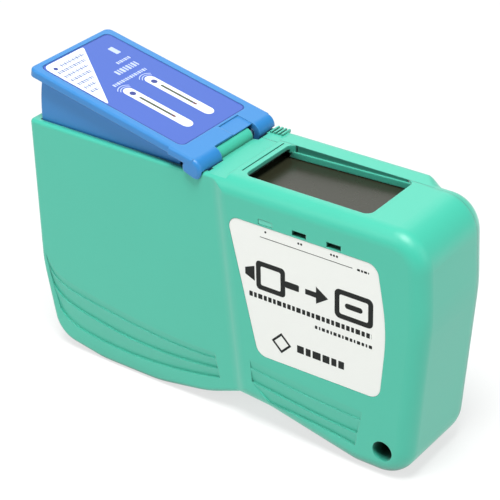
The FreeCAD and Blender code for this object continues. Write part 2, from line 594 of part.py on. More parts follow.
def label_plate():
    inner = Part.Face(rounded_wire(LABEL, -HEAD_HALF + 0.08)).makeOffset2D(-0.05)
    return inner.extrude(V(0, LABEL_DEPTH - 0.08, 0))


def type_tab():
    x, w, h = SLOT_X[0], SLOT_SIZE[0] / 2 - 0.05, SLOT_SIZE[1] / 2 - 0.05
    return joined(box(x - w, x + w, -HEAD_HALF + 0.1, FRONT_INNER, SLOT_Z - h, SLOT_Z + h),
                  box(x - 3.5, x + 3.5, FRONT_INNER, FRONT_INNER + 0.9, SLOT_Z - 1.6, SLOT_Z + 1.6))


def hinge_pin():
    return disc(HINGE[0], HINGE[1], PIN_R, *PIN_Y)


def build():
    body = case_body()
    return {
        "front_shell": front_shell(body), "rear_cover": rear_cover(body),
        "label_plate": label_plate(), "type_tab": type_tab(), "hinge_pin": hinge_pin(),
        "lever": lever(), "lever_label": lever_label(), "drive_pawl": drive_pawl(), "pawl_pin": pawl_pin(),
        "shutter": shutter(), "shutter_arm": shutter_arm(), "arm_pivot": arm_pivot(),
        "take_up_reel": take_up_reel(), "supply_reel": supply_reel(),
        "take_up_roll": roll(TAKE_UP, TAKE_UP_ROLL), "supply_roll": roll(SUPPLY, SUPPLY_ROLL),
        "tape_run": tape_run(), "tape_guide": tape_guide(), "slot_plate": slot_plate(),
        "backing_pad": backing_pad(), "return_spring": return_spring(),
        "guide_roller_left": guide_roller(ROLLER_X[0]), "guide_roller_right": guide_roller(ROLLER_X[1]),
        "roller_axle_left": roller_axle(ROLLER_X[0]), "roller_axle_right": roller_axle(ROLLER_X[1]),
        "click_spring": click_spring(), "brake_spring": brake_spring(),
    }


os.makedirs("parts", exist_ok=True)
for name, shape in build().items():
    if shape.ShapeType == "Compound" and len(shape.Solids) == 1:
        shape = shape.Solids[0]
    shape.exportStep("parts/" + name + ".step")
    b = shape.BoundBox
    print(name, shape.ShapeType, len(shape.Solids), shape.isValid(), round(shape.Volume, 1),
          [round(v, 2) for v in (b.XMin, b.XMax, b.YMin, b.YMax, b.ZMin, b.ZMax)])
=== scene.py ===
import math

import bmesh
import bpy
from mathutils import Matrix, Vector


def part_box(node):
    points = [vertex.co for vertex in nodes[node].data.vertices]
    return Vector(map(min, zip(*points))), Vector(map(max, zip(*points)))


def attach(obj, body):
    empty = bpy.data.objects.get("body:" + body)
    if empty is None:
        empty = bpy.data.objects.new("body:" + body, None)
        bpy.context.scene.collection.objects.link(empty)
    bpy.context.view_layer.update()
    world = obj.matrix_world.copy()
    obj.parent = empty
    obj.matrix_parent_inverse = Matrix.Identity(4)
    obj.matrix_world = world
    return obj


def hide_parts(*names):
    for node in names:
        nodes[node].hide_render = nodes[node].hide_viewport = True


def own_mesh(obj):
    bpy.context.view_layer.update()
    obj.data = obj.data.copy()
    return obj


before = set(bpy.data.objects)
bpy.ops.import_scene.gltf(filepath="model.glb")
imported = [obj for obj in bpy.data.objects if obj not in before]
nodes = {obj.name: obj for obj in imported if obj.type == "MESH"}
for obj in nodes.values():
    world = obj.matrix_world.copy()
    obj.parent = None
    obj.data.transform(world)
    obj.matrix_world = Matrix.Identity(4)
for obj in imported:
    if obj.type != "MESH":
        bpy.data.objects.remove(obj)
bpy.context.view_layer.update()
print("frame loaded:", len(nodes), "nodes")

mm = 0.001


# camera and picture
viewFrom = {
    "azimuth": 36.98,
    "elevation": 30.15,
    "roll": 1.49,
    "place": (0.2569, -0.3430, 0.2934),
    "lens": 128.95,
    "sensor": 36,
    "clipStart": 0.01,
}


def makeCamera(view):
    az, el, roll = (math.radians(view[k]) for k in ("azimuth", "elevation", "roll"))
    ahead = Vector((-math.sin(az) * math.cos(el), math.cos(az) * math.cos(el), -math.sin(el)))
    level = Vector((math.cos(az), math.sin(az), 0))
    down = ahead.cross(level)
    right = level * math.cos(roll) + down * math.sin(roll)
    up = level * math.sin(roll) - down * math.cos(roll)
    turn = Matrix((right, up, -ahead)).transposed().to_4x4()
    data = bpy.data.cameras.new("mainCamera")
    data.lens = view["lens"]
    data.sensor_width = view["sensor"]
    data.clip_start = view["clipStart"]
    camera = bpy.data.objects.new("mainCamera", data)
    camera.matrix_world = Matrix.Translation(view["place"]) @ turn
    bpy.context.scene.collection.objects.link(camera)
    bpy.context.scene.camera = camera


makeCamera(viewFrom)
print("camera placed")


# shader node groups
def newGroup(name, inputs, outputs):
    group = bpy.data.node_groups.new(name, "ShaderNodeTree")
    for label, kind, value in inputs:
        socket = group.interface.new_socket(name=label, in_out="INPUT", socket_type=kind)
        socket.default_value = value
    for label, kind in outputs:
        group.interface.new_socket(name=label, in_out="OUTPUT", socket_type=kind)
    return group, group.nodes.new("NodeGroupInput"), group.nodes.new("NodeGroupOutput")


def addNode(tree, kind, **settings):
    node = tree.nodes.new(kind)
    for key, value in settings.items():
        setattr(node, key, value)
    return node


def feed(tree, socket, value):
    # a link if the value comes from another node, otherwise the value itself
    if hasattr(value, "is_output"):
        tree.links.new(value, socket)
    elif value is not None:
        socket.default_value = value


def mathStep(tree, operation, a, b=None, clamp=False):
    node = addNode(tree, "ShaderNodeMath", operation=operation, use_clamp=clamp)
    for socket, value in zip(node.inputs, (a, b)):
        feed(tree, socket, value)
    return node.outputs[0]


mixSockets = {"a": 6, "b": 7, "result": 2}  # the colour sockets of a mix node


def blendColour(tree, amount, a, b, mode="MIX"):
    node = addNode(tree, "ShaderNodeMix", data_type="RGBA", blend_type=mode)
    feed(tree, node.inputs["Factor"], amount)
    feed(tree, node.inputs[mixSockets["a"]], a)
    feed(tree, node.inputs[mixSockets["b"]], b)
    return node.outputs[mixSockets["result"]]


def objectNoise(tree, scale, detail=3.0, stretch=None):
    place = addNode(tree, "ShaderNodeTexCoord").outputs["Object"]
    if stretch:
        mapping = addNode(tree, "ShaderNodeMapping")
        mapping.inputs["Scale"].default_value = stretch
        tree.links.new(place, mapping.inputs["Vector"])
        place = mapping.outputs[0]
    noise = addNode(tree, "ShaderNodeTexNoise")
    noise.inputs["Detail"].default_value = detail
    tree.links.new(place, noise.inputs["Vector"])
    feed(tree, noise.inputs["Scale"], scale)
    return noise.outputs["Fac"]


# inner numbers of the shader groups
edgeWearHighlightShape = {"samples": 4, "radius": 0.0007, "gain": 6.0, "detail": 4.0}
depthShape = {"samples": 6, "openShare": 0.55, "gain": 2.6}
weaveWobble = 0.6


def makeGrainGroup():
    group, start, end = newGroup(
        "mouldGrain",
        [("Grain Scale", "NodeSocketFloat", 2500.0), ("Flow Scale", "NodeSocketFloat", 60.0),
         ("Flow", "NodeSocketFloat", 0.5)],
        [("Height", "NodeSocketFloat")])
    fine = objectNoise(group, start.outputs["Grain Scale"], 4.0)
    flow = objectNoise(group, start.outputs["Flow Scale"], 1.0)
    soft = mathStep(group, "MULTIPLY", flow, start.outputs["Flow"])
    group.links.new(mathStep(group, "ADD", fine, soft), end.inputs["Height"])
    return group


# lightens the convex edges found by the bevel normal: partly rubbed wear, partly a painted highlight standing in
# for the shine on rounded edges
def makeEdgeWearHighlightGroup():
    group, start, end = newGroup(
        "edgeWearAndHighlight",
        [("Colour", "NodeSocketColor", (0.5, 0.5, 0.5, 1)), ("Rub Colour", "NodeSocketColor", (0.8, 0.8, 0.8, 1)),
         ("Amount", "NodeSocketFloat", 0.3), ("Breakup", "NodeSocketFloat", 400.0)],
        [("Colour", "NodeSocketColor")])
    soft = addNode(group, "ShaderNodeBevel", samples=edgeWearHighlightShape["samples"])
    soft.inputs["Radius"].default_value = edgeWearHighlightShape["radius"]
    shape = addNode(group, "ShaderNodeNewGeometry")
    dot = addNode(group, "ShaderNodeVectorMath", operation="DOT_PRODUCT")
    group.links.new(soft.outputs[0], dot.inputs[0])
    group.links.new(shape.outputs["Normal"], dot.inputs[1])
    bend = mathStep(group, "SUBTRACT", 1.0, dot.outputs["Value"])
    edge = mathStep(group, "MULTIPLY", bend, edgeWearHighlightShape["gain"], True)
    patch = mathStep(group, "MULTIPLY", objectNoise(group, start.outputs["Breakup"], edgeWearHighlightShape["detail"]), edge)
    mask = mathStep(group, "MULTIPLY", patch, start.outputs["Amount"], True)
    colour = blendColour(group, mask, start.outputs["Colour"], start.outputs["Rub Colour"])
    group.links.new(colour, end.inputs["Colour"])
    return group


def makeDepthGroup():
    group, start, end = newGroup(
        "depthShade",
        [("Colour", "NodeSocketColor", (0.5, 0.5, 0.5, 1)), ("Deep Colour", "NodeSocketColor", (0.1, 0.1, 0.1, 1)),
         ("Reach", "NodeSocketFloat", 0.005), ("Amount", "NodeSocketFloat", 0.8)],
        [("Colour", "NodeSocketColor")])
    sky = addNode(group, "ShaderNodeAmbientOcclusion", samples=depthShape["samples"])
    group.links.new(start.outputs["Reach"], sky.inputs["Distance"])
    shut = mathStep(group, "SUBTRACT", depthShape["openShare"], sky.outputs["AO"], True)
    deep = mathStep(group, "MULTIPLY", shut, depthShape["gain"])
    mask = mathStep(group, "MULTIPLY", deep, start.outputs["Amount"], True)
    colour = blendColour(group, mask, start.outputs["Colour"], start.outputs["Deep Colour"])
    group.links.new(colour, end.inputs["Colour"])
    return group


def makeToneGroup():
    group, start, end = newGroup(
        "toneDrift",
        [("Colour", "NodeSocketColor", (0.5, 0.5, 0.5, 1)), ("Drift", "NodeSocketFloat", 0.06),
         ("Patch Scale", "NodeSocketFloat", 35.0), ("Roughness", "NodeSocketFloat", 0.4),
         ("Spread", "NodeSocketFloat", 0.1)],
        [("Colour", "NodeSocketColor"), ("Roughness", "NodeSocketFloat")])
    patch = objectNoise(group, start.outputs["Patch Scale"], 5.0)
    centred = mathStep(group, "SUBTRACT", patch, 0.5)
    gain = mathStep(group, "ADD", 1.0, mathStep(group, "MULTIPLY", centred, start.outputs["Drift"]))
    tint = addNode(group, "ShaderNodeCombineColor")
    for socket in tint.inputs:
        group.links.new(gain, socket)
    colour = blendColour(group, 1.0, start.outputs["Colour"], tint.outputs[0], "MULTIPLY")
    group.links.new(colour, end.inputs["Colour"])
    swing = mathStep(group, "MULTIPLY", centred, start.outputs["Spread"])
    group.links.new(mathStep(group, "ADD", start.outputs["Roughness"], swing), end.inputs["Roughness"])
    return group


def makeSeamGroup():
    group, start, end = newGroup(
        "partingLine",
        [("Place", "NodeSocketFloat", 0.0096), ("Width", "NodeSocketFloat", 0.00012)],
        [("Mask", "NodeSocketFloat")])
    split = addNode(group, "ShaderNodeSeparateXYZ")
    group.links.new(addNode(group, "ShaderNodeTexCoord").outputs["Object"], split.inputs[0])
    offset = mathStep(group, "SUBTRACT", split.outputs["Y"], start.outputs["Place"])
    away = mathStep(group, "ABSOLUTE", offset)
    near = mathStep(group, "DIVIDE", away, start.outputs["Width"])
    group.links.new(mathStep(group, "SUBTRACT", 1.0, near, True), end.inputs["Mask"])
    return group


def makeWeaveGroup():
    group, start, end = newGroup(
        "tapeWeave",
        [("Threads", "NodeSocketFloat", 4500.0)],
        [("Height", "NodeSocketFloat"), ("Gap", "NodeSocketFloat")])
    place = addNode(group, "ShaderNodeTexCoord").outputs["Object"]
    waves = []
    for direction in ("X", "Y"):
        wave = addNode(group, "ShaderNodeTexWave", bands_direction=direction)
        group.links.new(place, wave.inputs["Vector"])
        group.links.new(start.outputs["Threads"], wave.inputs["Scale"])
        wave.inputs["Distortion"].default_value = weaveWobble
        waves.append(wave.outputs["Fac"])
    both = mathStep(group, "MAXIMUM", waves[0], waves[1])
    group.links.new(both, end.inputs["Height"])
    group.links.new(mathStep(group, "SUBTRACT", 1.0, both), end.inputs["Gap"])
    return group


grainGroup = makeGrainGroup()
edgeWearHighlightGroup = makeEdgeWearHighlightGroup()
depthGroup = makeDepthGroup()
toneGroup = makeToneGroup()
seamGroup = makeSeamGroup()
weaveGroup = makeWeaveGroup()
print("shader groups ready")


def placeGroup(tree, group, links=None, **values):
    node = addNode(tree, "ShaderNodeGroup", node_tree=group)
    for label, value in values.items():
        node.inputs[label.replace("_", " ")].default_value = value
    for label, output in (links or {}).items():
        tree.links.new(output, node.inputs[label])
    return node


def linear(rgb):
    # the usual curve from display values to linear ones
    return tuple(((c + 0.055) / 1.055) ** 2.4 if c > 0.04045 else c / 12.92 for c in rgb) + (1.0,)


def startMaterial(name):
    material = bpy.data.materials.new(name)
    material.use_nodes = True
    tree = material.node_tree
    shader = tree.nodes["Principled BSDF"]
    return material, tree, shader


def addBump(tree, shader, height, strength, depth, normal=None):
    bump = addNode(tree, "ShaderNodeBump")
    bump.inputs["Strength"].default_value = strength
    bump.inputs["Distance"].default_value = depth
    tree.links.new(height, bump.inputs["Height"])
    feed(tree, bump.inputs["Normal"], normal)
    tree.links.new(bump.outputs[0], shader.inputs["Normal"])


# what a plastic has unless its own look says otherwise
plainPlastic = {
    "patch": 35.0, "reach": 0.005, "shade": 0.5, "specular": 0.5, "haze": 0.0, "hazeRoughness": 0.4,
    "seam": None, "seamCover": 0.85, "seamDepth": 6.0, "bumpDepth": 0.00004, "bevelSamples": 4,
    "glow": None, "glowRadius": (0.002, 0.002, 0.002), "glowScale": 0.5,
}


def plasticFinish(name, own):
    look = dict(plainPlastic, **own)
    material, tree, shader = startMaterial(name)
    tone = placeGroup(tree, toneGroup, Colour=linear(look["colour"]), Drift=look["drift"],
                      Patch_Scale=look["patch"], Roughness=look["roughness"], Spread=look["spread"])
    # edge lightening: partly rubbed wear, partly a painted highlight on the rounded edges
    wearHighlight = placeGroup(tree, edgeWearHighlightGroup, {"Colour": tone.outputs["Colour"]},
                     Rub_Colour=linear(look["wearHighlight"]), Amount=look["wearHighlightAmount"])
    depth = placeGroup(tree, depthGroup, {"Colour": wearHighlight.outputs["Colour"]},
                       Deep_Colour=linear(look["deep"]), Reach=look["reach"], Amount=look["shade"])
    colour = depth.outputs["Colour"]
    height = placeGroup(tree, grainGroup, Grain_Scale=look["grain"]).outputs["Height"]
    if look["seam"]:
        line = placeGroup(tree, seamGroup, Place=look["seam"], Width=look["seamWidth"]).outputs["Mask"]
        cover = mathStep(tree, "MULTIPLY", line, look["seamCover"], True)
        colour = blendColour(tree, cover, colour, linear(look["seamColour"]))
        height = mathStep(tree, "SUBTRACT", height, mathStep(tree, "MULTIPLY", line, look["seamDepth"]))
    tree.links.new(colour, shader.inputs["Base Color"])
    tree.links.new(tone.outputs["Roughness"], shader.inputs["Roughness"])
    bevel = addNode(tree, "ShaderNodeBevel", samples=look["bevelSamples"])
    bevel.inputs["Radius"].default_value = look["soften"]
    addBump(tree, shader, height, look["bump"], look["bumpDepth"], bevel.outputs[0])
    shader.inputs["Specular IOR Level"].default_value = look["specular"]
    shader.inputs["Sheen Weight"].default_value = look["haze"]
    shader.inputs["Sheen Roughness"].default_value = look["hazeRoughness"]
    if look["glow"]:
        shader.inputs["Subsurface Weight"].default_value = look["glow"]
        shader.inputs["Subsurface Radius"].default_value = look["glowRadius"]
        shader.inputs["Subsurface Scale"].default_value = look["glowScale"]
    return material


# moulded case, lever and inner plastics
# each look's edge colour and its amount lighten the convex edges: partly rubbed wear, partly a painted highlight
# for the shine on rounded edges
caseLook = {
    "colour": (0.25, 0.735, 0.63), "wearHighlight": (0.50, 0.90, 0.82), "deep": (0.02, 0.22, 0.17),
    "drift": 0.05, "roughness": 0.42, "spread": 0.10,
    "wearHighlightAmount": 0.18, "grain": 2600.0, "bump": 0.25, "soften": 0.0004, "shade": 1.0, "reach": 0.012, "haze": 0.33,
    "seam": 0.0096, "seamWidth": 0.00016, "seamColour": (0.10, 0.42, 0.36),
}
leverLook = {
    "colour": (0.17, 0.505, 0.77), "wearHighlight": (0.42, 0.72, 0.95), "deep": (0.03, 0.16, 0.36),
    "drift": 0.05, "roughness": 0.40, "spread": 0.10,
    "wearHighlightAmount": 0.35, "grain": 2600.0, "bump": 0.22, "soften": 0.0004, "shade": 0.35, "haze": 0.15,
}
panelLook = {
    "colour": (0.285, 0.40, 0.73), "wearHighlight": (0.42, 0.52, 0.88), "deep": (0.08, 0.12, 0.42),
    "drift": 0.06, "roughness": 0.46, "spread": 0.08,
    "wearHighlightAmount": 0.15, "grain": 3400.0, "bump": 0.15, "soften": 0.0002, "specular": 0.27,
}
labelLook = {
    "colour": (0.93, 0.94, 0.92), "wearHighlight": (0.98, 0.98, 0.97), "deep": (0.45, 0.50, 0.46),
    "drift": 0.02, "roughness": 0.50, "spread": 0.08,
    "wearHighlightAmount": 0.1, "grain": 3000.0, "bump": 0.12, "soften": 0.00015,
}
inkLook = {
    "colour": (0.035, 0.06, 0.045), "wearHighlight": (0.16, 0.19, 0.17), "deep": (0.01, 0.02, 0.02),
    "drift": 0.25, "roughness": 0.42, "spread": 0.1,
    "wearHighlightAmount": 0.1, "grain": 3000.0, "bump": 0.1, "soften": 0.00005, "patch": 300.0, "specular": 0.25,
}
whiteInkLook = {
    "colour": (0.91, 0.94, 0.99), "wearHighlight": (1.0, 1.0, 1.0), "deep": (0.5, 0.55, 0.7),
    "drift": 0.05, "roughness": 0.45, "spread": 0.1,
    "wearHighlightAmount": 0.1, "grain": 3000.0, "bump": 0.1, "soften": 0.00005, "patch": 300.0,
}
paleInkLook = dict(whiteInkLook, colour=(0.72, 0.78, 0.96))
oliveInkLook = dict(inkLook, colour=(0.30, 0.33, 0.22))
rustInkLook = dict(inkLook, colour=(0.42, 0.22, 0.20))
blueInkLook = dict(inkLook, colour=(0.22, 0.27, 0.55))
deepBlueInkLook = dict(inkLook, colour=(0.20, 0.32, 0.64))
greyInkLook = dict(inkLook, colour=(0.46, 0.51, 0.68))
tabLook = dict(caseLook, colour=(0.36, 0.80, 0.70), seam=None)
shutterLook = {
    "colour": (0.17, 0.175, 0.125), "wearHighlight": (0.30, 0.31, 0.26), "deep": (0.02, 0.03, 0.02),
    "drift": 0.12, "roughness": 0.26, "spread": 0.10,
    "wearHighlightAmount": 0.2, "grain": 1800.0, "bump": 0.12, "soften": 0.0002, "specular": 0.28, "shade": 0.1,
}
blackLook = {
    "colour": (0.10, 0.10, 0.11), "wearHighlight": (0.3, 0.3, 0.3), "deep": (0.01, 0.01, 0.01),
    "drift": 0.15, "roughness": 0.45, "spread": 0.15,
    "wearHighlightAmount": 0.2, "grain": 2200.0, "bump": 0.2, "soften": 0.0002,
}
acetalLook = {
    "colour": (0.91, 0.90, 0.86), "wearHighlight": (0.97, 0.96, 0.94), "deep": (0.45, 0.42, 0.36),
    "drift": 0.04, "roughness": 0.38, "spread": 0.1,
    "wearHighlightAmount": 0.15, "grain": 2400.0, "bump": 0.15, "soften": 0.0002, "glow": 0.1,
}
padLook = {
    "colour": (0.20, 0.21, 0.22), "wearHighlight": (0.3, 0.3, 0.3), "deep": (0.02, 0.02, 0.02),
    "drift": 0.2, "roughness": 0.85, "spread": 0.1,
    "wearHighlightAmount": 0.1, "grain": 1200.0, "bump": 0.6, "soften": 0.0003,
}

steelLook = {
    "colour": (0.70, 0.70, 0.71), "darker": 0.85, "patch": 200.0, "patchDetail": 2.0,
    "roughness": 0.28, "spread": 0.2, "brush": (1.0, 0.05, 1.0),
    "scratch": 1500.0, "scratchDetail": 6.0, "bump": 0.2, "bumpDepth": 0.00002,
}
tapeLook = {
    "colour": (0.93, 0.94, 0.97), "gap": (0.72, 0.74, 0.80), "threads": 4500.0, "roughness": 0.85, "spread": 0.1,
    "patch": 400.0, "bump": 0.5, "bumpDepth": 0.00004, "haze": 0.3,
}


def steelFinish(name, look):
    material, tree, shader = startMaterial(name)
    scratch = objectNoise(tree, look["scratch"], look["scratchDetail"], look["brush"])
    patch = objectNoise(tree, look["patch"], look["patchDetail"])
    dark = linear([c * look["darker"] for c in look["colour"]])
    swing = mathStep(tree, "MULTIPLY", mathStep(tree, "SUBTRACT", scratch, 0.5), look["spread"])
    shader.inputs["Metallic"].default_value = 1.0
    tree.links.new(blendColour(tree, patch, linear(look["colour"]), dark), shader.inputs["Base Color"])
    tree.links.new(mathStep(tree, "ADD", look["roughness"], swing), shader.inputs["Roughness"])
    addBump(tree, shader, scratch, look["bump"], look["bumpDepth"])
    return material


def tapeFinish(name, look):
    material, tree, shader = startMaterial(name)
    weave = placeGroup(tree, weaveGroup, Threads=look["threads"])
    colour = blendColour(tree, weave.outputs["Gap"], linear(look["colour"]), linear(look["gap"]))
    swing = mathStep(tree, "MULTIPLY", objectNoise(tree, look["patch"]), look["spread"])
    tree.links.new(colour, shader.inputs["Base Color"])
    tree.links.new(mathStep(tree, "ADD", look["roughness"], swing), shader.inputs["Roughness"])
    addBump(tree, shader, weave.outputs["Height"], look["bump"], look["bumpDepth"])
    shader.inputs["Sheen Weight"].default_value = look["haze"]
    return material


casePlastic = plasticFinish("casePlastic", caseLook)
leverPlastic = plasticFinish("leverPlastic", leverLook)
panelFilm = plasticFinish("panelFilm", panelLook)
labelPaper = plasticFinish("labelPaper", labelLook)
darkInk = plasticFinish("darkInk", inkLook)
whiteInk = plasticFinish("whiteInk", whiteInkLook)
oliveInk = plasticFinish("oliveInk", oliveInkLook)
rustInk = plasticFinish("rustInk", rustInkLook)
blueInk = plasticFinish("blueInk", blueInkLook)
deepBlueInk = plasticFinish("deepBlueInk", deepBlueInkLook)
greyInk = plasticFinish("greyInk", greyInkLook)
paleInk = plasticFinish("paleInk", paleInkLook)
tabPlastic = plasticFinish("tabPlastic", tabLook)
shutterPlastic = plasticFinish("shutterPlastic", shutterLook)
blackPlastic = plasticFinish("blackPlastic", blackLook)
acetal = plasticFinish("acetal", acetalLook)
padFoam = plasticFinish("padFoam", padLook)
steel = steelFinish("brightSteel", steelLook)
wovenTape = tapeFinish("wovenTape", tapeLook)

finishes = {
    "front_shell": casePlastic, "rear_cover": casePlastic, "label_plate": labelPaper,
    "type_tab": tabPlastic, "hinge_pin": steel, "lever": leverPlastic, "lever_label": panelFilm,
    "drive_pawl": acetal, "pawl_pin": steel,
    "shutter": shutterPlastic, "shutter_arm": acetal, "arm_pivot": steel, "take_up_reel": acetal,
    "supply_reel": acetal, "take_up_roll": wovenTape, "supply_roll": wovenTape, "tape_run": wovenTape,
    "tape_guide": blackPlastic, "slot_plate": blackPlastic, "backing_pad": padFoam, "return_spring": steel,
    "guide_roller_left": acetal, "guide_roller_right": acetal, "roller_axle_left": steel,
    "roller_axle_right": steel, "click_spring": steel, "brake_spring": steel,
}
for name, node in nodes.items():
    for holder in node.material_slots:
        holder.link = "OBJECT"
        holder.material = finishes[name]
print("materials on", len(finishes), "CAD nodes")


def meshFrom(build, name):
    mesh = bpy.data.meshes.new(name)
    build.to_mesh(mesh)
    build.free()
    return mesh


def addPiece(name, mesh, material):
    mesh.materials.append(material)
    piece = bpy.data.objects.new(name, mesh)
    bpy.context.scene.collection.objects.link(piece)
    return piece


# return spring under the lever
coilSpring = {
    "turns": 5.6, "endTurns": 0.8, "wire": 0.8, "stepsPerTurn": 28, "sides": 10,
    "keep": 0.62,  # share of its length left when the lever is down
}


def makeCoilSpring(look):
    low, high = (Vector(corner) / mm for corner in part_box("return_spring"))
    middle = (low + high) / 2
    half = look["wire"] / 2
    coil = (high.x - low.x) / 2 - half
    rise = high.z - low.z - look["wire"]
    build = bmesh.new()
    rings = []
    steps = round(look["turns"] * look["stepsPerTurn"])
    for k in range(steps + 1):
        turned = look["turns"] * k / steps
        climb = min(1.0, max(0.0, (turned - look["endTurns"]) / (look["turns"] - 2 * look["endTurns"])))
        a = 2 * math.pi * turned
        side = Vector((math.cos(a), math.sin(a), 0))
        centre = Vector((middle.x, middle.y, low.z + half + rise * climb)) + side * coil
        ring = []
        for j in range(look["sides"]):
            b = 2 * math.pi * j / look["sides"]
            rim = side * half * math.cos(b) + Vector((0, 0, half * math.sin(b)))
            ring.append(build.verts.new((centre + rim) * mm))
        rings.append(ring)
    for a, b in zip(rings, rings[1:]):
        for j in range(look["sides"]):
            j2 = (j + 1) % look["sides"]
            build.faces.new((a[j], b[j], b[j2], a[j2])).smooth = True
    build.faces.new(rings[0])
    build.faces.new(rings[-1][::-1])
    bmesh.ops.recalc_face_normals(build, faces=build.faces)
    piece = addPiece("coilSpring", meshFrom(build, "coilSpring"), steel)
    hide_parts("return_spring")
    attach(piece, "case")
    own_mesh(piece)


makeCoilSpring(coilSpring)
print("return spring wound")

# thin skins over the two fine slits that the cover's hollow leaves in its rounded corners
cornerSkins = {
    "corners": {  # start x, middle of the corner's turn (x, z), up or down, degrees round
        "topCornerSkin": (49.9, (54.57, 65.0), 1, 44.0),
        "bottomCornerSkin": (49.9, (51.63, 10.0), -1, 36.0),
    },
    "radius": 10.0, "stations": 26,
    "wholeRows": (13.3, 13.6, 14.5, 14.8),  # the cover has no slit along these y
    "rows": (  # y, and how far the skin stands off the cover there
        (13.4, -0.06), (13.6, 0.015), (13.85, 0.03), (14.05, 0.03), (14.25, 0.03), (14.5, 0.015), (14.7, -0.06)),
    "thickness": 0.25, "endDrop": -0.06, "castFrom": 20.0,
}


def throughPoints(known, y):
    # smooth height at y from a few (y, height) pairs
    total = 0.0
    for i, (yi, height) in enumerate(known):
        share = 1.0
        for j, (yj, _) in enumerate(known):
            if j != i:
                share *= (y - yj) / (yi - yj)
        total += share * height
    return total


def makeCornerSkin(name, look, cover):
    x0, (cx, cz), side, degrees = look["corners"][name]
    straight = cx - x0
    whole = straight + look["radius"] * math.radians(degrees)
    build = bmesh.new()
    grid = []
    for k in range(look["stations"] + 1):
        along = whole * k / look["stations"]
        turn = max(0.0, (along - straight) / look["radius"])
        foot = Vector((min(x0 + along, cx), 0, cz))
        out = Vector((math.sin(turn), 0, side * math.cos(turn)))
        known = []
        for y in look["wholeRows"]:
            start = foot + out * look["castFrom"] + Vector((0, y, 0))
            hit = cover.ray_cast(start * mm, -out)[1]
            known.append((y, look["castFrom"] - (hit / mm - start).length))
        atEnd = k in (0, look["stations"])
        column = []
        for y, lift in look["rows"]:
            height = throughPoints(known, y) + (look["endDrop"] if atEnd else lift)
            column.append(build.verts.new((foot + Vector((0, y, 0)) + out * height) * mm))
        grid.append(column)
    for a, b in zip(grid, grid[1:]):
        for i in range(len(a) - 1):
            corners = (a[i], b[i], b[i + 1], a[i + 1])
            build.faces.new(corners if side > 0 else corners[::-1]).smooth = True
    piece = addPiece(name, meshFrom(build, name), casePlastic)
    body = piece.modifiers.new("body", "SOLIDIFY")
    body.thickness = look["thickness"] * mm
    body.offset = -1.0
    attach(piece, "cover")


for name in cornerSkins["corners"]:
    makeCornerSkin(name, cornerSkins, nodes["rear_cover"])
print("cover corners closed")


# thin printed shapes
def printShape(name, outlines, place, thickness, material, body, holes=()):
    curve = bpy.data.curves.new(name, "CURVE")
    curve.dimensions = "2D"
    curve.fill_mode = "BOTH"
    curve.extrude = thickness / 2 * mm
    for outline in list(outlines) + list(holes):
        spline = curve.splines.new("POLY")
        spline.points.add(len(outline) - 1)
        for point, (a, b) in zip(spline.points, outline):
            point.co = (a * mm, b * mm, 0, 1)
        spline.use_cyclic_u = True
    loose = bpy.data.objects.new(name + "Curve", curve)
    bpy.context.scene.collection.objects.link(loose)
    bpy.context.view_layer.update()
    mesh = bpy.data.meshes.new_from_object(loose.evaluated_get(bpy.context.evaluated_depsgraph_get()))
    bpy.data.objects.remove(loose)
    mesh.transform(place)
    mesh.materials.clear()
    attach(addPiece(name, mesh, material), body)


def roundedBar(x0, x1, z0, z1, radius, steps=6):
    radius = min(radius, (x1 - x0) / 2, (z1 - z0) / 2)
    points = []
    for cx, cz, start in ((x1 - radius, z1 - radius, 0), (x0 + radius, z1 - radius, 90),
                          (x0 + radius, z0 + radius, 180), (x1 - radius, z0 + radius, 270)):
        for k in range(steps + 1):
            a = math.radians(start + 90 * k / steps)
            points.append((cx + radius * math.cos(a), cz + radius * math.sin(a)))
    return points


def roundedOutline(corners, steps=5):
    # closed outline through corners (x, z, radius)
    points = []
    for i, (x, z, radius) in enumerate(corners):
        spot = Vector((x, z))
        back = (Vector(corners[i - 1][:2]) - spot).normalized()
        ahead = (Vector(corners[(i + 1) % len(corners)][:2]) - spot).normalized()
        reach = radius / math.tan(back.angle(ahead) / 2)
        for k in range(steps + 1):
            t = k / steps
            points.append(tuple(spot + back * reach * (1 - t) ** 2 + ahead * reach * t ** 2))
    return points


def circle(x, z, radius, steps):
    return [(x + radius * math.cos(2 * math.pi * k / steps), z + radius * math.sin(2 * math.pi * k / steps))
            for k in range(steps)]


def arcBand(x, z, radius, width, start, stop, steps=14):
    angles = [math.radians(start + (stop - start) * k / steps) for k in range(steps + 1)]
    outer = [(x + (radius + width) * math.cos(a), z + (radius + width) * math.sin(a)) for a in angles]
    inner = [(x + radius * math.cos(a), z + radius * math.sin(a)) for a in reversed(angles)]
    return outer + inner


strokeRound = {"radius": 0.15, "steps": 2}


def dashRow(x0, x1, z0, z1, lengths, gap):
    row, x, k = [], x0, 0
    while x < x1:
        stop = min(x + lengths[k % len(lengths)], x1)
        row.append(roundedBar(x, stop, z0, z1, **strokeRound))
        x, k = stop + gap, k + 1
    return row


